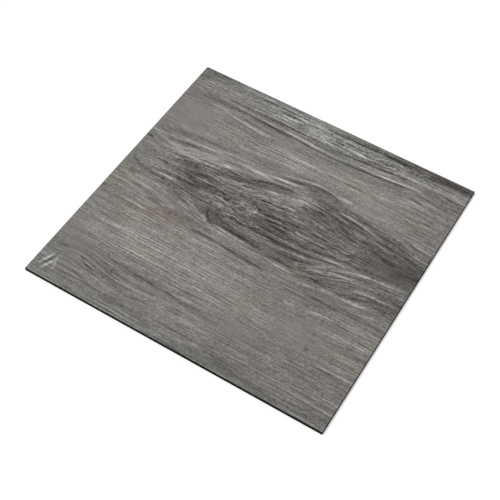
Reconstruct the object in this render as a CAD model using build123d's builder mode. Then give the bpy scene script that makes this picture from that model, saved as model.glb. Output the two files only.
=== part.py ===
"""Resilient vinyl floor tile, 12 by 12 in, for laying edge to edge.

The tile is one laminate: a dark filled-vinyl core with a printed wood-look film and a clear wear
layer pressed on its face. It is cut square by a die, so its four edges are plain, upright butt edges
that meet the next tile. The face edge has a fine bevel all round, which hides a small difference in
height between neighbours, and the back is flat.

Frame: origin at the centre of the back, +X along the printed grain, +Z up out of the walked-on face.
Sizes are in millimetres.
"""

import os

from build123d import *

# Driving dimensions
tile_side = 304.8  # 12 in, along and across the grain
tile_thickness = 3.2  # 1/8 in gauge, wear layer to back
bevel_width = 0.4  # how far the bevel reaches in from each edge
bevel_depth = 0.3  # how far the bevel drops below the face
corner_radius = 0.5  # the cutting die's corners

# One slab, with its back on the ground plane
with BuildPart() as floor_tile:
    with BuildSketch(Plane.XY):
        RectangleRounded(tile_side, tile_side, corner_radius)
    extrude(amount=tile_thickness)

    # The bevel runs round the face, and the die's corners with it
    face = floor_tile.faces().sort_by(Axis.Z)[-1]
    chamfer(face.edges(), length=bevel_width, length2=bevel_depth, reference=face)

floor_tile.part.label = "floor_tile"

os.makedirs("parts", exist_ok=True)
export_step(floor_tile.part, "parts/floor_tile.step")

print(f"floor_tile: {floor_tile.part.volume:.1f} mm3, valid {floor_tile.part.is_valid}")
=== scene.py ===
"""Looks of a square vinyl floor tile that lies face up on a pale floor.

The face carries a grey oak print under a clear satin wear layer, and its grain is pressed into the
face in step with the print. Where the print's light and dark lines pair up beside a groove, they are
partly painted highlight and painted shade of the groove's walls. The cut edges and the bevel show the
dark core. The frame is in metres.
The print is laid out in millimetres from the tile's centre, x along the grain and y across it.
"""

import inspect
import logging
import math
from collections.abc import Callable, Iterable, Mapping, Sequence
from dataclasses import astuple, dataclass, replace
from enum import Enum
from functools import cached_property, reduce
from typing import Any, Union

import bpy
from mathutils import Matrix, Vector


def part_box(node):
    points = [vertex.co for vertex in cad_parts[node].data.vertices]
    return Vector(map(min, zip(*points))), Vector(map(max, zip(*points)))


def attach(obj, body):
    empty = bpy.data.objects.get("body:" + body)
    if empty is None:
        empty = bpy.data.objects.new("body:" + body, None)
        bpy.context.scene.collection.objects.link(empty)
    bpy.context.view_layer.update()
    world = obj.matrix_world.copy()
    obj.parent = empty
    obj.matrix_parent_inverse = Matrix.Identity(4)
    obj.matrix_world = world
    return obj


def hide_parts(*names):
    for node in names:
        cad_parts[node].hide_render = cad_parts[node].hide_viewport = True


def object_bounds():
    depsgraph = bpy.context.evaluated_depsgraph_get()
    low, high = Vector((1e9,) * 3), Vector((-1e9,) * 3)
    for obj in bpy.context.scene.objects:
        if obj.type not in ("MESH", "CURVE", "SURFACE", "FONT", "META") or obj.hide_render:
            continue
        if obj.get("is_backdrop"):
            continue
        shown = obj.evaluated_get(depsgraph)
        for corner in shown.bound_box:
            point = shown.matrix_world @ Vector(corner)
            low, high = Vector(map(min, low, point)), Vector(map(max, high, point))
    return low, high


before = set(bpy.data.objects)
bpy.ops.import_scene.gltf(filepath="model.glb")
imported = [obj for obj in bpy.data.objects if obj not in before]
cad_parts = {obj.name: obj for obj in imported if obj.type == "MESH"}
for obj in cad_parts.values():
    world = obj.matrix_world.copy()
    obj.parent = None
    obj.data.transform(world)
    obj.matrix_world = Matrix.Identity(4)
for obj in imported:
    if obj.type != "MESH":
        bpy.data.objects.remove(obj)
cad_low, cad_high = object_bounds()

log = logging.getLogger("floor_tile")

MM = 0.001

Value = Union["Signal", float]
Colour = tuple[float, float, float, float]


def put(name: str, data: bpy.types.ID) -> bpy.types.Object:
    """Make an object of some data and put it into the scene."""
    made = bpy.data.objects.new(name, data)
    bpy.context.scene.collection.objects.link(made)
    return made


def shown(red: float, green: float, blue: float) -> Colour:
    """Turn a colour as a screen shows it, 0 to 255, into the linear one that a shader takes.

    The numbers are those of the standard screen curve.

    Args:
        red: Screen red.
        green: Screen green.
        blue: Screen blue.

    Returns:
        The linear colour, opaque.
    """
    share = [channel / 255 for channel in (red, green, blue)]
    linear = [s / 12.92 if s <= 0.04045 else ((s + 0.055) / 1.055) ** 2.4 for s in share]
    return (*linear, 1.0)


class Signal:
    """A number that a node gives, which joins in sums like a plain number."""

    def __init__(self, bench: "Bench", socket: bpy.types.NodeSocket) -> None:
        """Wrap one output socket of a node on the bench."""
        self.bench = bench
        self.socket = socket

    def __add__(self, other: Value) -> "Signal":
        """Add."""
        return self.bench.maths("ADD", self, other)

    __radd__ = __add__

    def __sub__(self, other: Value) -> "Signal":
        """Take other away."""
        return self.bench.maths("SUBTRACT", self, other)

    def __rsub__(self, other: Value) -> "Signal":
        """Take this away from other."""
        return self.bench.maths("SUBTRACT", other, self)

    def __mul__(self, other: Value) -> "Signal":
        """Multiply."""
        return self.bench.maths("MULTIPLY", self, other)

    __rmul__ = __mul__

    def __truediv__(self, other: Value) -> "Signal":
        """Divide by other."""
        return self.bench.maths("DIVIDE", self, other)

    def __rpow__(self, base: float) -> "Signal":
        """Raise a plain number to this power."""
        return self.bench.maths("POWER", base, self)

    def __abs__(self) -> "Signal":
        """Drop the sign."""
        return self.bench.maths("ABSOLUTE", self)

    def step(self, low: float, high: float) -> "Signal":
        """Rise smoothly from 0 at low to 1 at high, or fall where low is the larger.

        Args:
            low: Where the result is 0.
            high: Where the result is 1.

        Returns:
            The share between them.
        """
        settings = {"interpolation_type": "SMOOTHSTEP"}
        node = self.bench.add("ShaderNodeMapRange", settings, {0: self, 1: low, 2: high})
        return Signal(self.bench, node.outputs[0])

    def clipped(self) -> "Signal":
        """Hold it between 0 and 1."""
        return self.bench.maths("MINIMUM", self.bench.maths("MAXIMUM", self, 0.0), 1.0)


class Bench:
    """The node tree of one material or modifier, where nodes are put down and joined."""

    ROWS = 12
    PITCH = (210.0, -190.0)
    # The sockets of a Mix node that mixes colours
    MIX_SHARE, MIX_FIRST, MIX_SECOND = 0, 6, 7
    MIX_RESULT = 2
    GROUP_NODES = {"ShaderNodeTree": "ShaderNodeGroup", "GeometryNodeTree": "GeometryNodeGroup"}

    def __init__(self, tree: bpy.types.NodeTree) -> None:
        """Start on an empty tree."""
        self.tree = tree
        tree.nodes.clear()

    def add(
        self,
        kind: str,
        settings: Mapping[str, Any] | None = None,
        values: Mapping[int | str, Any] | None = None,
    ) -> bpy.types.Node:
        """Put down a node, make its settings, and then fill or join its sockets.

        Args:
            kind: The node's type.
            settings: Its properties by name. A ramp's stops are (place, colour) pairs.
            values: A number, colour, signal or socket for each input, by name or number.

        Returns:
            The node.
        """
        node = self.tree.nodes.new(kind)
        count = len(self.tree.nodes) - 1
        node.location = (count // self.ROWS * self.PITCH[0], count % self.ROWS * self.PITCH[1])
        for name, setting in (settings or {}).items():
            if name == "stops":
                self.set_stops(node.color_ramp, setting)
            else:
                setattr(node, name, setting)
        for key, value in (values or {}).items():
            self.feed(node.inputs[key], value)
        return node

    def feed(self, socket: bpy.types.NodeSocket, value: Any) -> None:
        """Join a signal or a socket to an input, or write a plain value there."""
        source = value.socket if isinstance(value, Signal) else value
        if isinstance(source, bpy.types.NodeSocket):
            self.tree.links.new(source, socket)
        else:
            socket.default_value = source

    @staticmethod
    def set_stops(ramp: bpy.types.ColorRamp, stops: Sequence[tuple[float, Colour]]) -> None:
        """Give a ramp its stops, in order of place."""
        while len(ramp.elements) < len(stops):
            ramp.elements.new(1.0)
        for element, (place, colour) in zip(ramp.elements, stops):
            element.position = place
            element.color = colour

    def maths(self, operation: str, *values: Value) -> Signal:
        """Put down a Math node with its inputs in order."""
        node = self.add("ShaderNodeMath", {"operation": operation}, dict(enumerate(values)))
        return Signal(self, node.outputs[0])

    def call(self, formula: Callable[..., Any], *values: Value) -> list[Signal]:
        """Put down a formula as one group node. Its group is made when it is first used.

        Args:
            formula: A function of numbers or signals that gives one or several of them.
            values: Its arguments, in order.

        Returns:
            Its results.
        """
        kind = self.tree.bl_idname
        name = f"{formula.__name__} in {kind}"
        group = bpy.data.node_groups.get(name) or self.grouped(formula, name)
        node = self.add(self.GROUP_NODES[kind], {"node_tree": group}, dict(enumerate(values)))
        return [Signal(self, output) for output in node.outputs]

    def grouped(self, formula: Callable[..., Any], name: str) -> bpy.types.NodeTree:
        """Make the group of a formula, with an input for each of its parameters."""
        tree = bpy.data.node_groups.new(name, self.tree.bl_idname)
        bench = Bench(tree)
        for parameter in inspect.signature(formula).parameters:
            tree.interface.new_socket(parameter, in_out="INPUT", socket_type="NodeSocketFloat")
        given = bench.add("NodeGroupInput").outputs
        results = formula(*(Signal(bench, output) for output in given[:-1]))
        results = results if isinstance(results, tuple) else (results,)
        for number in range(len(results)):
            tree.interface.new_socket(f"Result {number}", in_out="OUTPUT", socket_type="NodeSocketFloat")
        bench.add("NodeGroupOutput", None, dict(enumerate(results)))
        return tree

    def scaled(self, value: Value, middle: float, reach: float) -> Signal:
        """Measure a value from a middle, in reaches, with one node."""
        return self.maths("MULTIPLY_ADD", value, 1 / reach, -middle / reach)

    def cloud(self, place: bpy.types.NodeSocket, scale: float, detail: float = 2.0) -> Signal:
        """Put down a cloud of noise in space, 0 to 1, with its scale in clouds to a metre."""
        values = {"Vector": place, "Scale": scale, "Detail": detail}
        return Signal(self, self.add("ShaderNodeTexNoise", None, values).outputs[0])

    def bump(self, height: Value, depth: float) -> bpy.types.NodeSocket:
        """Turn a height, about 0 to 1 of a depth in metres, into a normal."""
        return self.add("ShaderNodeBump", None, {"Height": height, "Distance": depth}).outputs[0]

    def mix(self, blend: str, share: Value, first: Any, second: Any) -> bpy.types.NodeSocket:
        """Mix two colours.

        Args:
            blend: The blend type.
            share: How much of the second counts.
            first: A colour or a socket.
            second: A colour or a socket.

        Returns:
            The mixed colour.
        """
        settings = {"data_type": "RGBA", "blend_type": blend}
        values = {self.MIX_SHARE: share, self.MIX_FIRST: first, self.MIX_SECOND: second}
        return self.add("ShaderNodeMix", settings, values).outputs[self.MIX_RESULT]


def bell(
    x: Value,
    y: Value,
    middle_x: Value,
    middle_y: Value,
    reach_x: Value,
    reach_y: Value,
    amount: Value,
    so_far: Value,
) -> Value:
    """Add an amount that fades as a bell curve away from a middle.

    Args:
        x: Along the grain.
        y: Across the grain.
        middle_x: The middle's place along the grain.
        middle_y: The middle's place across it.
        reach_x: How far it reaches along the grain.
        reach_y: How far it reaches across it.
        amount: The amount at the middle.
        so_far: What the amount is added to.

    Returns:
        The sum.
    """
    u = (x - middle_x) / reach_x
    v = (y - middle_y) / reach_y
    return so_far + amount * math.exp(-1) ** (u * u + v * v)


def stroke(
    x: Value,
    y: Value,
    middle_x: Value,
    middle_y: Value,
    half_length: Value,
    half_rise: Value,
    bow: Value,
    width: Value,
    tone: Value,
    depth: Value,
    tone_so_far: Value,
    depth_so_far: Value,
) -> tuple[Value, Value]:
    """Add one long line of the figure to the print's tone and to the depth of its groove. A light line
    beside a dark one is partly a painted highlight on the groove's wall.

    Args:
        x: Along the grain.
        y: Across the grain.
        middle_x: The middle of the line's ends, along the grain.
        middle_y: The middle of its ends, across it.
        half_length: Half of its length.
        half_rise: How far each end is above or below that middle.
        bow: How far the line stands above the straight way between its ends.
        width: Half of its width.
        tone: Its tone in screen levels, darker below 0.
        depth: How deep it is pressed, 0 to 1.
        tone_so_far: The tone that it is added to.
        depth_so_far: The depth that it is added to.

    Returns:
        The tone and the depth.
    """
    along = (x - middle_x) / half_length
    square = along * along
    path = middle_y + along * half_rise + (1 - square) * bow
    across = (y - path) / width
    share = math.exp(-1) ** (square * square + across * across)
    return tone_so_far + share * tone, depth_so_far + share * depth


@dataclass(frozen=True)
class Noise:
    """One noise of the grain, by the size of its streaks in millimetres.

    Its tone is how far it moves the print's tone, in screen levels, and its depth how deep it is
    pressed, in shares of the full depth. It follows the course of the grain or lies straight.
    """

    SEED_SHIFT = (17.3, 9.1)

    length: float
    width: float
    seed: int
    detail: float = 1.0
    tone: float = 0.0
    depth: float = 0.0
    follows: bool = True

    def on(self, fields: "PrintFields") -> Signal:
        """Put it down on the bench of a print.

        Args:
            fields: The print.

        Returns:
            The noise, about -1 to 1 and mostly within half of that.
        """
        bench = fields.bench
        across = fields.course if self.follows else fields.y
        shift_x, shift_y = self.SEED_SHIFT
        u = bench.maths("MULTIPLY_ADD", fields.x, 1 / self.length, shift_x * self.seed)
        v = bench.maths("MULTIPLY_ADD", across, 1 / self.width, shift_y * self.seed)
        place = bench.add("ShaderNodeCombineXYZ", None, {0: u, 1: v})
        values = {"Vector": place.outputs[0], "Scale": 1.0, "Detail": self.detail}
        node = bench.add("ShaderNodeTexNoise", {"noise_dimensions": "2D"}, values)
        return bench.maths("MULTIPLY_ADD", Signal(bench, node.outputs[0]), 2.0, -1.0)


@dataclass(frozen=True)
class Marks:
    """Small marks along the grain, cut from one noise, in clusters cut from a wider one.

    A span gives the noise's values where its share is 0 and where it is 1. Marks that are threads
    follow the lines where the noise is 0. Their tone and depth are as a noise's are.
    """

    noise: Noise
    span: tuple[float, float]
    clusters: Noise
    cluster_span: tuple[float, float]
    tone: float
    depth: float = 0.0
    threads: bool = False

    def on(self, fields: "PrintFields") -> Signal:
        """Put them down on the bench of a print, 1 on each and 0 between them."""
        height = fields.lay(self.noise)
        height = abs(height) if self.threads else height
        return height.step(*self.span) * fields.lay(self.clusters).step(*self.cluster_span)


@dataclass(frozen=True)
class Spot:
    """A soft oval on the face, in millimetres, with an amount at its middle."""

    x: float
    y: float
    reach_x: float
    reach_y: float
    amount: float


@dataclass(frozen=True)
class Line:
    """One long line of the figure, in millimetres, with its tone in screen levels. Light lines set beside
    dark ones are partly painted highlight, and the dark ones partly painted shade, on the walls of the
    pressed grooves.
    """

    FULL_DEPTH_TONE = -40.0

    x_from: float
    y_from: float
    x_to: float
    y_to: float
    tone: float
    width: float = 1.3
    bow: float = 0.0

    @property
    def middle(self) -> tuple[float, float]:
        """The point halfway between the line's ends."""
        return ((self.x_from + self.x_to) / 2, (self.y_from + self.y_to) / 2)

    @property
    def half(self) -> tuple[float, float]:
        """Half of the way from one end to the other."""
        return ((self.x_to - self.x_from) / 2, (self.y_to - self.y_from) / 2)

    @property
    def depth(self) -> float:
        """How deep it is pressed, 0 to 1. Only dark lines are."""
        return min(1.0, max(0.0, self.tone / self.FULL_DEPTH_TONE))


class Zone(Enum):
    """The three kinds of surface on the tile, by the number of its material."""

    FACE = 0
    EDGE = 1
    BACK = 2


@dataclass(frozen=True)
class Heart:
    """The dark heart of the figure, between two grain lines that part towards the right."""

    top: float = 47.0
    top_rise: float = 12.0
    rise_from: float = 0.0
    rise_to: float = 25.0
    bottom: float = -10.0
    bottom_fall: float = 20.0
    fall_from: float = 50.0
    fall_to: float = 80.0
    fade_from: float = -122.0
    fade_to: float = -82.0
    softness: float = 2.5
    tone: float = -15.5


@dataclass(frozen=True)
class OakFigure:
    """The figure of the printed oak board.

    The places of its spots and lines were read from enlargements of the photo. Their strengths
    were then changed round by round, until the render's mean tones came close to its own.

    Attributes:
        swells: Where the grain lines bow up or down, in millimetres.
        heart: The dark heart.
        clouds: Its light and dark stretches, in screen levels.
        cool: Where it leans to blue.
        warm: Where it leans to brown.
        rosy: Where it leans to red.
        olive: Where it leans to green.
        sawn: Where fine marks cross the grain.
        combed: Where the grain lies in even lines.
        quiet: Where the long grain is weak.
        mottled: Where it is flecked.
        lively: Where all the grain is strong, or weak below 0.
        curly: Where the grain strays from its course.
        lines: Its long lines. They are print, and partly painted highlight and shade where light and dark
            lines pair up beside grooves.
    """

    swells: tuple[Spot, ...] = (
        Spot(25, 60, 55, 20, 11), Spot(27, 73, 22, 9, 5), Spot(30, 45, 42, 9, 4),
        Spot(-48, 32, 22, 8, -4), Spot(10, -20, 62, 20, -9), Spot(48, -22, 18, 9, -4),
        Spot(90, -5, 24, 11, 4), Spot(-125, 42, 34, 15, -10), Spot(-112, 31, 24, 9, -4),
        Spot(-140, -8, 42, 15, 8), Spot(152, 42, 34, 16, -9), Spot(140, -8, 42, 20, 12),
        Spot(22, 116, 60, 14, -5), Spot(-108, 110, 24, 10, 5), Spot(95, 122, 34, 12, 4),
        Spot(-122, -112, 19, 10, 5), Spot(-68, -126, 28, 10, -4), Spot(-35, -105, 40, 8, -2),
    )
    heart: Heart = Heart()
    clouds: tuple[Spot, ...] = (
        Spot(-15, 93, 95, 17, 15), Spot(70, 90, 60, 16, 9), Spot(-58, 139, 36, 8, 18),
        Spot(26, 134, 40, 7, 16), Spot(105, 133, 34, 4, 8), Spot(128, 147, 38, 4.5, -28),
        Spot(62, 147, 34, 4, -24), Spot(-142, 143, 18, 9, -18), Spot(-112, 119, 34, 7, -10),
        Spot(126, 119, 26, 9, -8), Spot(-132, 88, 26, 26, 3), Spot(-50, 57, 46, 6.5, 20),
        Spot(-115, 60, 30, 10, 8), Spot(100, 66, 30, 6, 12), Spot(-92, 44, 26, 5, 16),
        Spot(-148, 35, 7, 5, 26), Spot(-128, 13, 14, 5, 13), Spot(-83, 18, 17, 8, -14),
        Spot(-86, 32, 18, 3, -12), Spot(-36, 45, 12, 3, -6), Spot(-62, 46, 14, 4, 14),
        Spot(-12, 38, 26, 5.5, 22), Spot(7, 50, 11, 7, 24), Spot(12, 15, 19, 7, -18),
        Spot(4, 4, 12, 4, -14), Spot(-22, 5, 12, 4, -12), Spot(-22, 17, 12, 5, 11),
        Spot(-38, -12, 16, 5, -14), Spot(16, -9, 42, 6, -20), Spot(50, 8, 26, 4, -7),
        Spot(-132, -17, 20, 3, 14), Spot(38, 63, 16, 6, 8), Spot(72, 73, 14, 6, 6),
        Spot(134, 25, 22, 10, -26), Spot(76, 22, 22, 8, -9), Spot(142, 34, 40, 14, -26),
        Spot(124, 52, 34, 5, 9), Spot(100, -46, 50, 10, -5), Spot(104, -37, 36, 6, -9),
        Spot(124, 14, 34, 8, -13), Spot(20, -38, 80, 7, -4), Spot(-78, -72, 68, 25, 20),
        Spot(24, -78, 56, 20, 9), Spot(-95, -114, 28, 9, -11), Spot(-22, 142, 22, 5, 30),
        Spot(100, 141, 16, 4, -28), Spot(-35, -112, 30, 6, -6), Spot(-85, -38, 22, 7, 5),
        Spot(0, 41, 14, 6, 7), Spot(57, -24, 11, 5, -19), Spot(56, -144, 100, 10, -13),
        Spot(80, -112, 34, 10, -7), Spot(-100, -132, 24, 8, 6),
    )
    cool: tuple[Spot, ...] = (
        Spot(-20, 150, 170, 24, 1.0), Spot(16, 112, 20, 22, 0.5), Spot(-150, 30, 14, 30, 1.1),
        Spot(-140, -122, 30, 26, 0.7), Spot(0, -152, 170, 12, 1.0), Spot(153, 30, 8, 40, 1.3),
        Spot(-152, -60, 8, 60, 0.6), Spot(95, -72, 12, 10, 0.5), Spot(-55, 62, 16, 10, 0.5),
        Spot(2, 76, 12, 12, 0.5),
    )
    warm: tuple[Spot, ...] = (
        Spot(-85, -38, 58, 22, 1.0), Spot(20, 16, 60, 24, 0.2), Spot(-85, -82, 60, 20, 0.5),
        Spot(130, 28, 16, 14, 0.6),
    )
    rosy: tuple[Spot, ...] = (
        Spot(32, -22, 15, 9, 1.0), Spot(-124, 52, 12, 7, 0.5), Spot(-130, -76, 8, 7, 0.5),
    )
    olive: tuple[Spot, ...] = (
        Spot(40, -74, 50, 44, 0.4), Spot(57, -23, 9, 7, 1.0), Spot(135, -75, 18, 26, 0.5),
        Spot(-80, 86, 30, 14, 0.5), Spot(54, 92, 26, 16, 0.6), Spot(-12, 108, 14, 12, 0.5),
        Spot(118, 86, 24, 16, 0.6), Spot(-142, -18, 14, 26, 0.9),
    )
    sawn: tuple[Spot, ...] = (
        Spot(-85, -66, 75, 34, 1.0), Spot(20, 90, 120, 22, 0.6), Spot(90, -110, 80, 34, 0.4),
    )
    combed: tuple[Spot, ...] = (
        Spot(-60, -72, 80, 34, 1.0), Spot(0, 86, 90, 14, 1.0), Spot(60, -130, 90, 24, 0.7),
        Spot(20, -46, 60, 10, 0.7),
    )
    quiet: tuple[Spot, ...] = (
        Spot(-60, -70, 95, 38, 0.28), Spot(70, -90, 70, 50, 0.35), Spot(-115, 85, 45, 30, 0.34),
        Spot(40, 88, 90, 16, 0.26), Spot(98, -18, 22, 9, 0.4), Spot(-125, -25, 35, 14, 0.4),
        Spot(-138, 14, 16, 18, 0.5),
    )
    mottled: tuple[Spot, ...] = (
        Spot(-40, 15, 45, 24, 1.0), Spot(70, 25, 50, 24, 0.7), Spot(-120, 20, 35, 26, 0.7),
        Spot(20, 136, 140, 13, 0.9), Spot(60, 84, 80, 20, 0.4),
    )
    lively: tuple[Spot, ...] = (
        Spot(-128, 88, 26, 20, -0.8), Spot(-138, -100, 26, 14, -0.4), Spot(40, -108, 24, 12, -0.6),
        Spot(94, -82, 24, 14, -0.5), Spot(80, 76, 26, 8, -0.5), Spot(134, 20, 16, 12, -0.6),
        Spot(-124, -118, 12, 16, -0.4), Spot(20, 138, 110, 12, 1.0), Spot(-108, 22, 24, 22, 0.35),
        Spot(-20, 10, 30, 20, 0.3),
    )
    curly: tuple[Spot, ...] = (
        Spot(-22, 14, 34, 16, 1.0), Spot(80, 20, 30, 20, 0.6), Spot(-140, 10, 16, 22, 0.7),
        Spot(70, 138, 40, 9, 0.7), Spot(10, 44, 24, 12, 0.5),
    )
    # Where a light line runs beside a dark one, the pair is partly painted relief: painted highlight on
    # one wall of a groove and painted shade on the other.
    lines: tuple[Line, ...] = (
        # The band of lines above the figure
        Line(-80, 118, 20, 113.3, -46, 1.2, -0.6), Line(16, 113.3, 104, 120.5, -36, 1.2, -0.8),
        Line(-100, 118.6, -84, 118, -22, 1.4), Line(-92, 122, 12, 117.2, 42, 1.2, -0.4),
        Line(12, 117, 108, 122.5, 38, 1.1, -0.6), Line(-74, 125.3, 8, 125, -38),
        Line(-112, 126, -82, 125, -32, 1.6), Line(8, 124.6, 100, 129.5, -32, 1.3, -1.2),
        Line(112, 129.5, 150, 127, -26, 1.8), Line(-84, 128.6, -34, 127.6, 24, 1.2),
        Line(-152, 125, -131, 119.5, 14, 1.4), Line(-152, 133.6, -110, 132.5, 16, 1.4),
        Line(-119, 110.4, -97, 110, 34, 1.1, 0.6), Line(-99, 109.6, -83, 105.4, 34, 1.1),
        Line(-85, 105.6, -48, 103.2, 32, 1.1, -0.4), Line(-92, 104.5, -58, 102, -20, 1.4),
        Line(-60, 137, -32, 136.4, 44, 1.6), Line(-57, 140.2, -31, 140.4, -38),
        Line(-80, 144, -64, 145, -26, 1.2), Line(-4, 146, 56, 145.5, -34, 1.4, -0.8),
        Line(56, 145.8, 90, 145, -44, 1.6), Line(98, 143, 114, 143, -34, 1.6),
        Line(112, 144, 152, 146, -38, 2.0), Line(-1, 134.2, 18, 134.2, -50, 1.4),
        Line(-8, 131, 9, 130.5, 28, 1.4), Line(30, 132.6, 46, 132.4, 26, 1.4),
        Line(18, 137, 50, 139, -18, 1.8), Line(53, 136, 66, 141, 38, 1.1, 1.6),
        Line(66, 141, 84, 142, 32, 1.1), Line(55, 136.6, 62, 137, -24, 1.2),
        Line(98, 139, 105, 146, 30, 1.4, 1.0), Line(82, 132.4, 110, 132.8, 30, 1.4),
        Line(112, 132.4, 150, 133, 18, 1.4), Line(101, 110.6, 118, 109.3, -23, 1.4),
        Line(104, 106, 122, 106, 26, 1.4),
        # The comb of the quiet upper part
        Line(-95, 85.4, 6, 92.6, 14, 1.2, 0.6), Line(-98, 81.6, -14, 87, 16, 1.2),
        Line(-66, 77.5, 2, 83.5, 14, 1.2), Line(24, 94.4, 60, 95, 20, 1.1),
        Line(24, 92.3, 60, 92.6, -22, 1.1), Line(-100, 87, 0, 89.8, -14, 1.2),
        Line(86, 73.6, 118, 71.5, 16, 1.2), Line(124, 89.4, 138, 90, -24, 1.0),
        Line(125, 87, 134, 87, 22, 1.0),
        # The arch and the lines that fall away from it
        Line(-16, 65.8, 12, 70, -40, 1.5, -0.6), Line(10, 70.4, 48, 70, -40, 1.4, 2.8),
        Line(-12, 69, 22, 75.6, 34, 1.1, 0.3), Line(18, 75.6, 48, 72.6, 28, 1.1, 0.8),
        Line(46, 73.8, 60, 74, 34, 1.8), Line(-20, 61.6, 6, 63, 38, 1.3, 0.6),
        Line(-18, 59.6, 10, 61.6, -30, 1.2), Line(13, 65.6, 27, 68.8, -38),
        Line(-52, 58, -18, 57.6, 34, 1.5), Line(4, 57, 30, 56.4, 24, 1.4),
        Line(-36, 47, 3, 55.6, -42, 1.5, 1.6), Line(-66, 43.4, -34, 42, -30, 1.8, 1.2),
        Line(24, 48, 48, 46.6, -36, 1.3, 0.4), Line(42, 52.4, 52, 50, -28),
        Line(68, 64.2, 100, 62.8, -28), Line(40, 60.4, 100, 58.6, -26), Line(48, 58.8, 74, 56.8, 34, 1.2),
        Line(50, 54, 70, 50.4, 34), Line(56, 55.2, 88, 51.8, -26, 1.2),
        Line(54, 49.8, 88, 46.2, -28, 1.3, -0.8), Line(76, 56, 102, 50.8, 32, 1.2),
        Line(104, 55, 126, 54, -24, 2.2), Line(128, 62, 152, 59.4, 30, 1.2),
        Line(122, 60.2, 152, 57, -22), Line(98, 45.4, 119, 41, 32), Line(98, 48.4, 120, 45, -22),
        Line(131, 44.6, 139, 43.4, -26, 1.4), Line(73, 37.6, 94, 38.6, -34),
        Line(112, 31, 127, 29.8, -36, 1.4),
        # The lines that gather at the left edge
        Line(-134, 60, -74, 66, -22, 2.0, 2.0), Line(-152, 41.6, -144, 41.6, -60, 1.4),
        Line(-152, 51, -128, 52.6, 20, 1.4), Line(-114, 55, -76, 61, 20, 1.6, -0.8),
        Line(-84, 61, -54, 65, 20), Line(-120, 51, -82, 54, -26, 1.4), Line(-67, 53.4, -40, 55, -28, 1.2),
        Line(-67, 48, -58, 48.4, 38), Line(-108, 37.6, -70, 41.4, 40, 1.4, 0.4),
        Line(-126, 43.4, -110, 42.4, 24, 1.4), Line(-110, 33.6, -86, 33, -26, 1.6, -0.8),
        Line(-72, 35, -54, 36.2, -28, 1.4), Line(-72, 31.8, -26, 35.4, 22, 1.4),
        Line(-94, 22, -70, 26, -24, 1.4), Line(-92, 18.4, -76, 15, -24, 1.6),
        Line(-122, 9.4, -66, 11.2, -38, 1.2, -0.4), Line(-118, 6, -98, 6.4, 30),
        Line(-128, 2, -113, 2, -8, 1.6), Line(-148, 12.5, -130, 5.4, -34, 1.3, -2.0),
        Line(-141, -4, -134, -7, -30, 1.8), Line(-142, -10.6, -100, -17.8, 24, 1.6),
        Line(-126, -8, -94, -10, 18, 1.3, 0.8), Line(-82, -6.6, -58, -11.8, 30),
        Line(-80, -13, -66, -17.6, 34), Line(-93, -22, -77, -23, 24), Line(-108, -24.4, -92, -25, -26),
        Line(-126, -36.8, -98, -39.6, 24),
        # The heart
        Line(-24, 32.6, 1, 39.4, 28, 1.5), Line(-13, 43.8, -3, 44.4, 30, 2.0),
        Line(-15, 30.6, -5, 32, -34), Line(3, 34.4, 19, 36.4, 30, 1.5), Line(17, 40.6, 27, 41, 26),
        Line(-10, 28, 36, 32, 22, 1.2, 0.8), Line(16, 26.8, 34, 27.2, 28, 1.4),
        Line(19, 22, 34, 21.4, -36, 1.2), Line(-2, 18.2, 20, 20, -32, 1.1),
        Line(-2, 21.4, 16, 22.2, 24, 1.1), Line(-1, 12.6, 30, 14.4, -38, 1.2),
        Line(15, 11.8, 31, 12.2, 30, 1.2), Line(8, 9.4, 24, 9, -26, 1.2), Line(32, 15, 48, 15.2, 32, 1.2),
        Line(46, 21.4, 62, 21.6, -34, 1.2), Line(48, 14.4, 68, 15.6, 24, 1.2),
        Line(48, 12.4, 66, 12, -24, 1.2), Line(-33, 17.8, -17, 21.4, 30, 1.6, -0.8),
        Line(-14.5, 15, -9.5, 15, 26, 1.6), Line(-21, 10, -5, 10.4, 30, 1.2),
        Line(-56, 18.6, -46, 18, -30), Line(-47, 12.6, -41, 11.4, -30, 1.4), Line(-50, 3.6, -40, 3, 22),
        Line(-38, 4, -29, 5.2, 26), Line(-46, 14, -36, 11.6, -30), Line(-31, -3.6, -13, -6, -38, 1.2),
        Line(-42, -6.6, -31, -6, -30, 1.2), Line(-41, -3, -20, -1, 26, 1.2),
        Line(-2, -1.2, 82, 5, 30, 1.1, -0.8), Line(-12, -4, 44, -2.4, -36, 1.1, -0.4),
        Line(-12, -6, 24, -6.4, 12, 1.1),
        # The rim below the heart and the lines that rise from its end
        Line(-51, -8, -40, -17.4, -40, 2.2, -2.6), Line(-42, -17, 12, -19.2, -42, 1.5, 0.6),
        Line(-53, -14.6, -46, -18.4, 30), Line(-34, -19, 4, -22, 30, 1.2),
        Line(-44, -24.4, -8, -24.6, 22, 1.2, 1.0), Line(20, -23, 50, -23, -34, 1.8, 1.0),
        Line(30, -27.6, 51, -27.6, 44), Line(46.5, -17, 53, -17, 26, 1.6),
        Line(51, -26.4, 74, -20.4, 30, 1.1, 1.0), Line(69, -23, 78, -23, -34),
        Line(59, -14.6, 82, -9.8, 44, 1.2, -0.6), Line(62, -9, 77, -3.8, 46, 1.2, -0.6),
        Line(79, -9, 108, -2.8, 48, 1.2), Line(80, -3.6, 96, 1.6, 28, 1.2, -0.8),
        Line(94, 1.6, 115, 6.2, 46), Line(116, 7, 152, 8.8, 38, 1.3, 0.4), Line(126, -1.4, 152, 1.2, 20),
        Line(98, -14, 152, -10.2, 38, 1.2, 0.6), Line(66, 2.8, 82, 5.2, 34), Line(77, 7, 91, 17, 24, 1.5),
        Line(82, 22, 93, 28, 20, 2.4), Line(79, -28.4, 95, -26.4, 34, 1.2, -0.6),
        Line(98, -28, 124, -25.8, 26, 1.2, 0.8), Line(124, -34, 138, -31.8, 28, 1.4),
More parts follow.
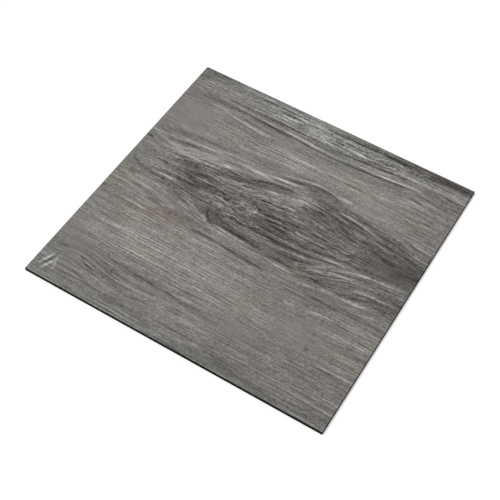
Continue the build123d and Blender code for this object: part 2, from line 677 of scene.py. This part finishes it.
        Line(76, -37.6, 99, -38, 18, 1.2), Line(76, -39.8, 99, -39.8, -24, 1.4),
        # The quiet lower part
        Line(-52, -34.6, -26, -34.6, -28), Line(-17, -36, 10, -37, -36),
        Line(8, -37, 30, -38.4, -22, 1.2), Line(-46, -31, -10, -33, 20), Line(-38, -38.2, -12, -38.8, 20),
        Line(-2, -40, 24, -42.4, 20, 1.2), Line(-52, -43.5, -16, -44, 24, 1.2),
        Line(-34, -49, -8, -49.4, 18, 1.2), Line(-48, -53.6, -20, -54, 18, 1.2),
        Line(84, -55, 108, -52.2, 34, 1.3, 0.8), Line(60, -57, 73, -56.8, 20, 1.5, -0.8),
        Line(110, -66, 152, -63.6, 32, 1.1), Line(-104, -101.5, -8, -107, -30, 1.3, -1.0),
        Line(112, -98.8, 150, -98.8, 28, 1.1), Line(116, -101.2, 150, -100.8, -16),
        Line(99, -88, 103.5, -91, -22, 1.8), Line(-118, -114.6, -110, -116.4, -26, 1.4),
        Line(-113, -119.4, -99, -122, -28, 1.5), Line(-115, -132, -86, -137, -18, 1.2, -0.6),
        # The small knot in the corner, which cracks across the grain
        Line(-145.8, -138.6, -139.4, -126, 56, 2.6), Line(-142, -144, -134, -128.5, 52, 3.2),
        Line(-134.5, -130, -131, -140, 30, 3.0), Line(-143, -141, -136.5, -127.5, -30, 3.0),
        Line(-153, -130.4, -144, -128.8, 22, 1.4),
    )

    def course(self, x: float, y: float) -> float:
        """Say which grain line passes a place, by its height away from the figure."""
        return y - sum(bell(x, y, *astuple(swell), 0.0) for swell in self.swells)


class PrintFields:
    """The print as nodes on one bench. Each field is put down when it is first asked for."""

    # What bends and breaks the grain, and the drift of its tint
    UNREST = Noise(45, 8, 3, 2.0, follows=False)
    CURL = Noise(10, 5, 4, follows=False)
    DRIFT = Noise(30, 18, 71, follows=False)
    BREAK = Noise(12, 3, 61)
    # What the grain is made of, from the long streaks to the crumbs
    STRAND = Noise(62, 1.5, 5, 2.5, tone=40, depth=-0.45)
    BAND = Noise(120, 2.8, 8, tone=11, depth=-0.5)
    BROAD = Noise(200, 7, 9, tone=6)
    RINGS = Marks(Noise(240, 3.2, 21), (0.075, 0.0), BAND, (-0.3, 0.3), -18, 0.3, threads=True)
    LIME_CLUSTER = Noise(34, 10, 44)
    THREADS = Marks(Noise(90, 2, 47, 1.5), (0.17, 0.0), LIME_CLUSTER, (-0.5, 0.3), 22, threads=True)
    LIME = Marks(Noise(20, 0.95, 41), (0.18, 0.5), LIME_CLUSTER, (-0.25, 0.4), 18)
    PORES = Marks(Noise(11, 0.75, 31), (0.2, 0.5), Noise(40, 8, 34), (-0.3, 0.4), -26, 0.6)
    HAIR = Noise(16, 0.6, 11, tone=26, depth=-0.35)
    BLOTCH = Noise(12, 4, 13, 2.0, tone=10, follows=False)
    CRUMB = Noise(3.2, 1.5, 54, tone=28, follows=False)
    MOTTLE = Noise(7, 2.4, 57, tone=24)
    SAW = Noise(1.5, 26, 51, tone=12, follows=False)
    LONG_GRAIN = (STRAND, BAND, BROAD, RINGS, THREADS)
    SHORT_GRAIN = (HAIR, PORES, LIME, BLOTCH, CRUMB)

    # Tones and offsets in screen levels, reaches and pitch in millimetres, the rest as shares
    MIDDLE_TONE = 123.0
    LONG_OFFSET = -3.0
    SHORT_OFFSET = -1.0
    COMB_TONE = 13.0
    COMB_PITCH = 3.3
    COMB_EVENNESS = 0.8
    UNREST_REACH = 1.1
    CURL_REACH = 4.0
    FRAY_ALONG = 40.0
    FRAY_ACROSS = 2.0
    HEART_VIGOUR = 0.25
    LINE_UNREST = 0.6
    LINE_BREAKS = 0.9
    LINE_STRENGTH = 1.1
    LINE_DEPTH = 0.9
    MIDDLE_DEPTH = 0.15
    DRIFT_REACH = 0.55

    def __init__(self, bench: Bench, figure: OakFigure, place: bpy.types.NodeSocket) -> None:
        """Take the place on the tile, in metres, and give x and y in millimetres."""
        self.bench = bench
        self.figure = figure
        self.laid: dict[Noise | Marks, Signal] = {}
        parts = bench.add("ShaderNodeSeparateXYZ", None, {0: place})
        self.x = Signal(bench, parts.outputs[0]) * (1 / MM)
        self.y = Signal(bench, parts.outputs[1]) * (1 / MM)

    def spread(self, spots: Iterable[Spot], place: Sequence[Signal] = (), start: float = 0.0) -> Signal:
        """Add up spots over the face.

        Args:
            spots: The spots.
            place: The two coordinates to lay them on, where those aren't plain x and y.
            start: What the sum starts from.

        Returns:
            The sum.
        """
        sum_so_far: Value = start
        for spot in spots:
            values = (*(place or (self.x, self.y)), *astuple(spot), sum_so_far)
            sum_so_far = self.bench.call(bell, *values)[0]
        return sum_so_far

    def lay(self, grain: Noise | Marks) -> Signal:
        """Lay one kind of grain over the face, once."""
        if grain not in self.laid:
            self.laid[grain] = grain.on(self)
        return self.laid[grain]

    def toned(self, grains: Iterable[Noise | Marks], offset: float) -> Signal:
        """Add up the tones of several kinds of grain, from an offset."""
        return sum((self.lay(grain) * grain.tone for grain in grains), offset)

    def sunk(self, grain: Noise | Marks) -> Signal:
        """How deep one kind of grain is pressed."""
        return self.lay(grain) * grain.depth

    @cached_property
    def wobble(self) -> Signal:
        """How far the grain strays from its course, in millimetres."""
        curl = self.lay(self.CURL) * self.spread(self.figure.curly)
        return self.lay(self.UNREST) * self.UNREST_REACH + curl * self.CURL_REACH

    @cached_property
    def course(self) -> Signal:
        """The grain line that passes each place, with its unrest."""
        return self.y - self.spread(self.figure.swells) + self.wobble

    @cached_property
    def comb(self) -> Signal:
        """The even lines of the quiet stretches, which fade in and out."""
        wave = self.bench.maths("SINE", self.course * (math.tau / self.COMB_PITCH))
        breaks = self.lay(self.BREAK) + self.COMB_EVENNESS
        return wave * self.spread(self.figure.combed) * breaks

    @cached_property
    def feathered(self) -> tuple[Signal, Signal]:
        """The place along the grain and the course, frayed as the tones of wood are."""
        band = self.lay(self.BAND)
        return self.x + band * self.FRAY_ALONG, self.course + band * self.FRAY_ACROSS

    @cached_property
    def heart(self) -> Signal:
        """The figure's dark heart, 1 inside it."""
        shape = self.figure.heart
        x, course = self.feathered
        top = x.step(shape.rise_from, shape.rise_to) * shape.top_rise + shape.top
        bottom = shape.bottom - x.step(shape.fall_from, shape.fall_to) * shape.bottom_fall
        under = (top - course).step(-shape.softness, shape.softness)
        over = (course - bottom).step(-shape.softness, shape.softness)
        return under * over * x.step(shape.fade_from, shape.fade_to)

    @cached_property
    def vigour(self) -> Signal:
        """How strong the grain is, about 1."""
        return self.spread(self.figure.lively) + self.heart * self.HEART_VIGOUR + 1

    @cached_property
    def drawn(self) -> tuple[Signal, Signal]:
        """The tone and the depth of all the long lines. The tone holds painted highlight and shade where
        light and dark lines pair up beside grooves.
        """
        shift = self.wobble * self.LINE_UNREST
        x, y = self.x + shift, self.y + shift
        tone: Value = 0.0
        depth: Value = 0.0
        for line in self.figure.lines:
            shape = (*line.middle, *line.half, line.bow, line.width)
            tone, depth = self.bench.call(stroke, x, y, *shape, line.tone, line.depth, tone, depth)
        return tone, self.bench.maths("MINIMUM", depth, 1.0)

    @cached_property
    def clouds(self) -> Signal:
        """The broad light and dark of the board, with its heart."""
        spots = [replace(spot, y=self.figure.course(spot.x, spot.y)) for spot in self.figure.clouds]
        broad = self.spread(spots, self.feathered, self.MIDDLE_TONE)
        return broad + self.heart * self.figure.heart.tone

    @cached_property
    def long_grain(self) -> Signal:
        """The tone of the grain that runs on, weaker where the board is quiet."""
        grain = self.toned(self.LONG_GRAIN, self.LONG_OFFSET)
        return grain * (self.vigour - self.spread(self.figure.quiet))

    @cached_property
    def short_grain(self) -> Signal:
        """The tone of the short fibres, pores, ticks and specks."""
        return self.toned(self.SHORT_GRAIN, self.SHORT_OFFSET) * self.vigour

    @cached_property
    def tone(self) -> Signal:
        """The print's tone, in screen levels from 0 to 255."""
        # The lines' tone is print and partly painted groove highlight and shade.
        lines = self.drawn[0] * (self.lay(self.BREAK) * self.LINE_BREAKS + self.LINE_STRENGTH)
        saw = self.lay(self.SAW) * self.spread(self.figure.sawn) * self.SAW.tone
        mottle = self.lay(self.MOTTLE) * self.spread(self.figure.mottled) * self.MOTTLE.tone
        plain = self.clouds + (self.long_grain + self.short_grain) + lines
        return plain + saw + self.comb * self.COMB_TONE + mottle

    @cached_property
    def drift(self) -> Signal:
        """The slow change of tint, cool above 0 and warm below it."""
        return self.lay(self.DRIFT) * self.DRIFT_REACH

    @cached_property
    def pressed(self) -> Signal:
        """The depth that shows as real relief, 0 to about 1."""
        figure = self.drawn[1] * self.LINE_DEPTH + self.sunk(self.RINGS)
        return figure + (self.sunk(self.BAND) + self.MIDDLE_DEPTH) * self.vigour

    @cached_property
    def fine_pressed(self) -> Signal:
        """The depth too fine for the mesh, 0 to about 1."""
        return self.sunk(self.PORES) + (self.sunk(self.HAIR) + self.sunk(self.STRAND)) * self.vigour


@dataclass(frozen=True)
class Finish:
    """What the tile's finishes share: one shader, whose pattern keeps to the piece."""

    name: str
    roughness: float
    unevenness: float = 0.0
    bump_depth: float = 0.0

    def sockets(self, bench: Bench, place: bpy.types.NodeSocket) -> dict[str, Any]:
        """Give the shader's values and links by socket, on a material's tree. Each finish has its own."""
        raise NotImplementedError

    def uneven(self, pattern: Signal) -> Signal:
        """Let the roughness follow a pattern of 0 to 1."""
        return pattern * self.unevenness + (self.roughness - self.unevenness / 2)

    def material(self) -> bpy.types.Material:
        """Make the material.

        Returns:
            The material, with its nodes.
        """
        made = bpy.data.materials.new(self.name)
        made.use_nodes = True
        bench = Bench(made.node_tree)
        place = bench.add("ShaderNodeTexCoord").outputs["Object"]
        shader = bench.add("ShaderNodeBsdfPrincipled", None, self.sockets(bench, place))
        bench.add("ShaderNodeOutputMaterial", None, {"Surface": shader.outputs[0]})
        return made


@dataclass(frozen=True)
class PrintedFace(Finish):
    """The finish of the walked-on face: the print under its satin wear layer."""

    name: str = "grey_oak_print"
    figure: OakFigure = OakFigure()
    shades: tuple[tuple[float, Colour], ...] = (
        (30, shown(12, 10, 9)),
        (60, shown(44, 40, 37)),
        (90, shown(81, 76, 72)),
        (120, shown(115, 110.4, 107)),
        (150, shown(147, 142.5, 138.4)),
        (200, shown(199, 194, 189)),
    )
    cool_tint: Colour = (0.905, 0.997, 1.0, 1.0)
    warm_tint: Colour = (1.025, 0.985, 0.95, 1.0)
    olive_tint: Colour = (0.98, 1.0, 0.92, 1.0)
    rosy_tint: Colour = (1.035, 0.958, 1.0, 1.0)
    roughness: float = 0.44
    groove_roughness: float = 0.16
    band_roughness: float = 0.08
    sheen: float = 0.3
    bump_depth: float = 0.09 * MM

    def tinted(self, bench: Bench, fields: PrintFields) -> bpy.types.NodeSocket:
        """Colour the print by its tone, and tint its cool, warm, olive and rosy stretches.

        Args:
            bench: The material's tree.
            fields: The print's fields on it.

        Returns:
            The colour.
        """
        darkest, lightest = self.shades[0][0], self.shades[-1][0]
        span = lightest - darkest
        stops = [((level - darkest) / span, colour) for level, colour in self.shades]
        share = bench.scaled(fields.tone, darkest, span)
        colour = bench.add("ShaderNodeValToRGB", {"stops": stops}, {0: share}).outputs[0]
        tints = (
            (fields.spread(self.figure.cool) + fields.drift, self.cool_tint),
            (fields.spread(self.figure.warm) - fields.drift, self.warm_tint),
            (fields.spread(self.figure.olive), self.olive_tint),
            (fields.spread(self.figure.rosy), self.rosy_tint),
        )
        for amount, tint in tints:
            colour = bench.mix("MULTIPLY", amount, colour, tint)
        return colour

    def sockets(self, bench: Bench, place: bpy.types.NodeSocket) -> dict[str, Any]:
        """Give the shader's values and links.

        Args:
            bench: The material's tree.
            place: The place on the piece, in metres.

        Returns:
            A value or a link for each socket, by name.
        """
        fields = PrintFields(bench, self.figure, place)
        grooves = fields.drawn[1] * self.groove_roughness
        return {
            "Base Color": self.tinted(bench, fields),
            "Specular IOR Level": self.sheen,
            "Roughness": grooves + fields.lay(fields.BAND) * self.band_roughness + self.roughness,
            "Normal": bench.bump(1 - fields.fine_pressed, self.bump_depth),
        }


@dataclass(frozen=True)
class CutEdge(Finish):
    """The finish of the die-cut edges and the bevel: the dark filled core, with specks of filler."""

    name: str = "dark_core_edge"
    core: Colour = shown(24, 22, 21)
    speck: Colour = shown(50, 47, 45)
    speck_scale: float = 2600.0
    speck_span: tuple[float, float] = (0.6, 0.75)
    speck_height: float = 0.3
    score_scale: tuple[float, float, float] = (900.0, 900.0, 90.0)
    roughness: float = 0.8
    unevenness: float = 0.2
    sheen: float = 0.0
    bump_depth: float = 0.03 * MM

    def sockets(self, bench: Bench, place: bpy.types.NodeSocket) -> dict[str, Any]:
        """Give the shader's values and links.

        Args:
            bench: The material's tree.
            place: The place on the piece, in metres.

        Returns:
            A value or a link for each socket, by name.
        """
        specks = bench.cloud(place, self.speck_scale, 1.0).step(*self.speck_span)
        drawn_out = bench.add("ShaderNodeMapping", None, {"Vector": place, "Scale": self.score_scale})
        scores = bench.cloud(drawn_out.outputs[0], 1.0)
        return {
            "Base Color": bench.mix("MIX", specks, self.core, self.speck),
            "Specular IOR Level": self.sheen,
            "Roughness": self.uneven(scores),
            "Normal": bench.bump(scores + specks * self.speck_height, self.bump_depth),
        }


@dataclass(frozen=True)
class PlainBack(Finish):
    """The finish of the back: matte dark vinyl with the press belt's fine stipple."""

    name: str = "plain_vinyl_back"
    colour: Colour = shown(52, 50, 49)
    worn: Colour = shown(63, 61, 59)
    stipple_scale: float = 800.0
    wear_scale: float = 14.0
    roughness: float = 0.75
    unevenness: float = 0.1
    bump_depth: float = 0.06 * MM

    def sockets(self, bench: Bench, place: bpy.types.NodeSocket) -> dict[str, Any]:
        """Give the shader's values and links by socket."""
        stipple = bench.cloud(place, self.stipple_scale)
        return {
            "Base Color": bench.mix("MIX", bench.cloud(place, self.wear_scale), self.colour, self.worn),
            "Roughness": self.uneven(stipple),
            "Normal": bench.bump(stipple, self.bump_depth),
        }


@dataclass(frozen=True)
class UvLayout:
    """Where each zone lies on the square texture, in shares of its side."""

    margin: float = 0.008
    face: float = 0.875
    strip_height: float = 0.017
    strip_gap: float = 0.008
    back: float = 0.1

    def on_face(self, along: float, across: float) -> tuple[float, float]:
        """Place a point of the face, given in shares of the tile's side."""
        return (self.margin + along * self.face, self.margin + across * self.face)

    def on_edge(self, side: int, along: float, up: float) -> tuple[float, float]:
        """Place a point of one of the four edges, given in shares of its length and height."""
        floor = 2 * self.margin + self.face + side * (self.strip_height + self.strip_gap)
        return (self.margin + along * self.face, floor + up * self.strip_height)

    def on_back(self, along: float, across: float) -> tuple[float, float]:
        """Place a point of the back, given in shares of the tile's side."""
        return (1 - self.margin - self.back * (1 - along), self.margin + across * self.back)


@dataclass
class TileBlank:
    """The tile before its grain is pressed: a closed slab with a fine mesh on its face."""

    low: Vector
    high: Vector
    bevel_width: float = 0.4 * MM
    bevel_depth: float = 0.3 * MM
    corner_radius: float = 0.5 * MM
    corner_steps: int = 4
    cells_along: int = 156
    cells_across: int = 540
    layout: UvLayout = UvLayout()

    def mesh(self) -> bpy.types.Mesh:
        """Build the slab, with its zones and its texture map.

        Returns:
            The mesh, where it lies in the frame.
        """
        self.points: list[tuple[float, float, float]] = []
        self.faces: list[tuple[int, ...]] = []
        self.zones: list[Zone] = []
        self.uvs: list[tuple[float, float]] = []
        ring = self.add_face()
        self.add_rim(ring)
        made = bpy.data.meshes.new("floor_tile_blank")
        made.from_pydata(self.points, [], self.faces)
        made.polygons.foreach_set("material_index", [zone.value for zone in self.zones])
        made.polygons.foreach_set("use_smooth", [zone is Zone.FACE for zone in self.zones])
        layer = made.uv_layers.new(name="OFBake")
        layer.uv.foreach_set("vector", [share for uv in self.uvs for share in uv])
        made.update()
        return made

    @property
    def size(self) -> Vector:
        """The slab's size."""
        return self.high - self.low

    def share(self, point: Sequence[float]) -> tuple[float, float]:
        """Give a point's place along and across the tile, in shares of its side."""
        return ((point[0] - self.low.x) / self.size.x, (point[1] - self.low.y) / self.size.y)

    def add_polygon(self, zone: Zone, corners: Sequence[int], uvs: Iterable[tuple[float, float]]) -> None:
        """Add one polygon with its zone and its places on the texture."""
        self.faces.append(tuple(corners))
        self.zones.append(zone)
        self.uvs.extend(uvs)

    @staticmethod
    def spaced(first: float, last: float, count: int) -> list[float]:
        """Divide a length into equal steps, both ends included."""
        return [first + (last - first) * number / count for number in range(count + 1)]

    def add_face(self) -> list[list[int]]:
        """Add the face's grid.

        Returns:
            For each of the four sides, anticlockwise from the front, the grid's points along it.
        """
        inset = self.bevel_width
        low, high = self.low, self.high
        xs = self.spaced(low.x + inset, high.x - inset, self.cells_along)
        ys = self.spaced(low.y + inset, high.y - inset, self.cells_across)
        row = len(xs)
        self.points.extend((x, y, self.high.z) for y in ys for x in xs)
        for j in range(self.cells_across):
            for i in range(self.cells_along):
                start = j * row + i
                corners = (start, start + 1, start + row + 1, start + row)
                uvs = [self.layout.on_face(*self.share(self.points[c])) for c in corners]
                self.add_polygon(Zone.FACE, corners, uvs)
        last = self.cells_across * row
        front = list(range(row))
        right = list(range(row - 1, last + row, row))
        rear = list(range(last + row - 1, last - 1, -1))
        left = list(range(last, -1, -row))
        return [front, right, rear, left]

    def add_rim(self, sides: list[list[int]]) -> None:
        """Add the bevel, the edges with their rounded corners, and the back.

        Args:
            sides: The face's points along each side, as add_face gives them.
        """
        brow: list[list[int]] = []
        foot: list[list[int]] = []
        for number, side in enumerate(sides):
            line = self.rim_line(number, side)
            for edge, height in ((brow, self.high.z - self.bevel_depth), (foot, self.low.z)):
                first = len(self.points)
                self.points.extend((spot.x, spot.y, height) for spot in line)
                edge.append(list(range(first, len(self.points))))
        for number, side in enumerate(sides):
            following = (number + 1) % len(sides)
            upper = brow[number] + [brow[following][0]]
            lower = foot[number] + [foot[following][0]]
            tops = side + [side[-1]] * self.corner_steps
            self.add_side(number, tops, upper, lower)
        loop = [point for side in foot for point in side]
        loop.reverse()
        uvs = [self.layout.on_back(*self.share(self.points[c])) for c in loop]
        self.add_polygon(Zone.BACK, loop, uvs)

    def rim_line(self, number: int, side: list[int]) -> list[Vector]:
        """Lay out the outside line of one side, with the corner at its far end.

        Args:
            number: Which of the four sides.
            side: The face's points along it.

        Returns:
            The line's places, seen from above.
        """
        middle = ((self.low + self.high) / 2).xy
        turn = number * math.pi / 2
        out = Vector((math.sin(turn), -math.cos(turn)))
        along = Vector((math.cos(turn), math.sin(turn)))
        wall = (abs(out.x) * self.size.x + abs(out.y) * self.size.y) / 2
        half = (abs(along.x) * self.size.x + abs(along.y) * self.size.y) / 2
        straight = half - self.corner_radius
        line = []
        for top in side:
            slide = (Vector(self.points[top][:2]) - middle) @ along
            line.append(out * wall + along * max(-straight, min(straight, slide)))
        centre = out * (wall - self.corner_radius) + along * straight
        for step in range(1, self.corner_steps):
            angle = step / self.corner_steps * math.pi / 2
            line.append(centre + (out * math.cos(angle) + along * math.sin(angle)) * self.corner_radius)
        return [middle + place for place in line]

    def add_side(self, number: int, tops: list[int], upper: list[int], lower: list[int]) -> None:
        """Add one side's bevel and edge, with the corner at its far end.

        Args:
            number: Which of the four sides.
            tops: The face's point for each point of the brow.
            upper: The points along the bevel's lower line.
            lower: The points along the foot.
        """
        count = len(upper) - 1
        for i in range(count):
            corners = [tops[i], upper[i], upper[i + 1]]
            if tops[i + 1] != tops[i]:
                corners.append(tops[i + 1])
            uvs = [self.layout.on_face(*self.share(self.points[c])) for c in corners]
            self.add_polygon(Zone.EDGE, corners, uvs)
            wall = (upper[i], lower[i], lower[i + 1], upper[i + 1])
            places = ((i, 1), (i, 0), (i + 1, 0), (i + 1, 1))
            uvs = [self.layout.on_edge(number, step / count, up) for step, up in places]
            self.add_polygon(Zone.EDGE, wall, uvs)


@dataclass
class GrainPress:
    """The press that sinks the grain into the face, as a Geometry Nodes tree.

    A polygon counts as face or back where its normal points up or down by more than level.
    """

    INPUTS = ("Face Height", "Press Depth", "Half Side", "Flat Rim")

    figure: OakFigure
    face_height: float
    depth: float = 0.13 * MM
    rim: float = 1.0 * MM
    tolerance: float = 0.05 * MM
    level: float = 0.9

    def tree(self, finishes: Mapping[Zone, bpy.types.Material]) -> bpy.types.GeometryNodeTree:
        """Build the tree.

        Args:
            finishes: The material of each zone.

        Returns:
            The tree, with its sizes as named inputs.
        """
        tree = bpy.data.node_groups.new("grain_press", "GeometryNodeTree")
        bench = Bench(tree)
        tree.interface.new_socket("Geometry", in_out="INPUT", socket_type="NodeSocketGeometry")
        for name in self.INPUTS:
            tree.interface.new_socket(name, in_out="INPUT", socket_type="NodeSocketFloat")
        tree.interface.new_socket("Geometry", in_out="OUTPUT", socket_type="NodeSocketGeometry")
        given = bench.add("NodeGroupInput").outputs
        place = bench.add("GeometryNodeInputPosition").outputs[0]
        fields = PrintFields(bench, self.figure, place)
        parts = bench.add("ShaderNodeSeparateXYZ", None, {0: place})
        x, y, z = (Signal(bench, output) for output in parts.outputs)
        height, depth, half, rim = (Signal(bench, given[name]) for name in self.INPUTS)
        outer = bench.maths("MAXIMUM", abs(x), abs(y))
        inside = ((half - outer) / rim).clipped()
        sunk = fields.pressed.clipped() * inside * depth
        drop = bench.add("ShaderNodeCombineXYZ", None, {2: sunk * -1.0})
        on_face = bench.maths("GREATER_THAN", z, height - self.tolerance)
        values = {"Geometry": given[0], "Selection": on_face, "Offset": drop.outputs[0]}
        made = bench.add("GeometryNodeSetPosition", None, values).outputs[0]
        made = bench.add("GeometryNodeRealizeInstances", None, {0: made}).outputs[0]
        normal = bench.add("GeometryNodeInputNormal").outputs[0]
        tilt = Signal(bench, bench.add("ShaderNodeSeparateXYZ", None, {0: normal}).outputs[2])
        wearing = {
            Zone.EDGE: bench.maths("LESS_THAN", tilt, self.level),
            Zone.FACE: bench.maths("GREATER_THAN", tilt, self.level),
            Zone.BACK: bench.maths("LESS_THAN", tilt, -self.level),
        }
        for zone, chosen in wearing.items():
            values = {"Geometry": made, "Selection": chosen, "Material": finishes[zone]}
            made = bench.add("GeometryNodeSetMaterial", None, values).outputs[0]
        bench.add("NodeGroupOutput", None, {0: made})
        return tree

    def press(
        self, blank: bpy.types.Object, half: float, finishes: Mapping[Zone, bpy.types.Material]
    ) -> bpy.types.Mesh:
        """Run the tree on a blank.

        Args:
            blank: The slab, with its face flat.
            half: Half of the face's side, inside the bevel.
            finishes: The material of each zone.

        Returns:
            The pressed mesh.
        """
        tree = self.tree(finishes)
        modifier = blank.modifiers.new("grain_press", "NODES")
        modifier.node_group = tree
        sizes = dict(zip(self.INPUTS, (self.face_height, self.depth, half, self.rim)))
        for item in tree.interface.items_tree:
            if item.in_out == "INPUT" and item.name in sizes:
                modifier[item.identifier] = sizes[item.name]
        graph = bpy.context.evaluated_depsgraph_get()
        return bpy.data.meshes.new_from_object(blank.evaluated_get(graph), depsgraph=graph)


@dataclass
class FloorTile:
    """The whole tile: its blank, its pressed face and its finishes."""

    name: str = "wood_look_tile"
    node: str = "floor_tile"
    body: str = "root"
    slot: str = "printed_vinyl"
    figure: OakFigure = OakFigure()

    def build(self) -> bpy.types.Object:
        """Build the tile in place of its CAD node.

        Returns:
            The finished piece.
        """
        shape = TileBlank(*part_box(self.node))
        finishes = {
            Zone.FACE: PrintedFace(figure=self.figure).material(),
            Zone.EDGE: CutEdge().material(),
            Zone.BACK: PlainBack().material(),
        }
        mesh = shape.mesh()
        for zone in Zone:
            mesh.materials.append(finishes[zone])
        blank = put("floor_tile_blank", mesh)
        half = shape.size.x / 2 - shape.bevel_width
        pressed = GrainPress(self.figure, shape.high.z).press(blank, half, finishes)
        pressed.name = self.name
        bpy.data.objects.remove(blank)
        piece = put(self.name, pressed)
        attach(piece, self.body)
        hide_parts(self.node)
        return piece


@dataclass
class Studio:
    """The pale floor, the soft light and the camera."""

    floor_side: float = 12.0
    floor_colour: Colour = (0.8, 0.8, 0.8, 1.0)
    floor_glow: float = 0.3
    floor_gap: float = 0.05 * MM
    world_light: float = 0.55
    key_strength: float = 1.6
    key_angle: float = math.radians(24)
    key_from: Vector = Vector((-0.42, -0.3, 0.9))
    camera_at: Vector = Vector((0.285, -0.559, 0.8222))
    aim: Vector = Vector((0.0054, -0.0235, 0.0))
    lens: float = 80.0
    sensor_width: float = 36.0
    roll: float = math.radians(4.4)

    def build_floor(self) -> None:
        """Lay the floor, which shows white where no shadow falls."""
        half = self.floor_side / 2
        corners = [(-half, -half, 0), (half, -half, 0), (half, half, 0), (-half, half, 0)]
        mesh = bpy.data.meshes.new("studio_floor")
        mesh.from_pydata(corners, [], [(0, 1, 2, 3)])
        floor = put("studio_floor", mesh)
        floor.location.z = cad_low.z - self.floor_gap
        made = bpy.data.materials.new("studio_floor")
        made.use_nodes = True
        bench = Bench(made.node_tree)
        seen = self.seen(bench)
        paint = bench.add("ShaderNodeBsdfDiffuse", None, {"Color": self.floor_colour})
        glow = bench.add("ShaderNodeEmission", None, {"Strength": seen * self.floor_glow})
        both = bench.add("ShaderNodeAddShader", None, {0: paint.outputs[0], 1: glow.outputs[0]})
        bench.add("ShaderNodeOutputMaterial", None, {"Surface": both.outputs[0]})
        mesh.materials.append(made)
        floor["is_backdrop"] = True

    @staticmethod
    def seen(bench: Bench) -> Signal:
        """Tell rays that the camera sees, straight or in a reflection, from those that light."""
        paths = bench.add("ShaderNodeLightPath").outputs
        names = ("Is Camera Ray", "Is Glossy Ray", "Is Transmission Ray")
        kinds = (Signal(bench, paths[name]) for name in names)
        return reduce(lambda a, b: bench.maths("MAXIMUM", a, b), kinds)

    def build_light(self) -> None:
        """Set the even light all round and one soft lamp."""
        world = bpy.data.worlds.new("studio")
        world.use_nodes = True
        bench = Bench(world.node_tree)
        strength = self.seen(bench) * (1 - self.world_light) + self.world_light
        back = bench.add("ShaderNodeBackground", None, {"Strength": strength})
        back.inputs["Color"].default_value = (1.0, 1.0, 1.0, 1.0)
        bench.add("ShaderNodeOutputWorld", None, {"Surface": back.outputs[0]})
        bpy.context.scene.world = world
        lamp = bpy.data.lights.new("key", "SUN")
        lamp.energy = self.key_strength
        lamp.angle = self.key_angle
        key = put("key", lamp)
        key.rotation_mode = "QUATERNION"
        key.rotation_quaternion = self.key_from.to_track_quat("Z", "Y")

    def build_camera(self) -> None:
        """Stand the camera where the tile was seen from, and aim it at the tile."""
        data = bpy.data.cameras.new("camera")
        data.lens = self.lens
        data.sensor_width = self.sensor_width
        camera = put("camera", data)
        camera.location = self.camera_at
        camera.rotation_euler = (self.camera_at - self.aim).to_track_quat("Z", "Y").to_euler()
        camera.rotation_euler.rotate_axis("Z", self.roll)
        bpy.context.scene.camera = camera


def main() -> None:
    """Build the tile and the studio, and report the piece."""
    logging.basicConfig(level=logging.INFO, format="%(message)s")
    bpy.context.scene.view_settings.view_transform = "Standard"
    tile = FloorTile().build()
    tile.data.calc_loop_triangles()
    log.info("%s: %d triangles", tile.name, len(tile.data.loop_triangles))
    studio = Studio()
    studio.build_floor()
    studio.build_light()
    studio.build_camera()
    low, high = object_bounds()
    boxes = {"cad": [list(cad_low), list(cad_high)], "visual": [list(low), list(high)]}


if __name__ == "__main__":
    main()
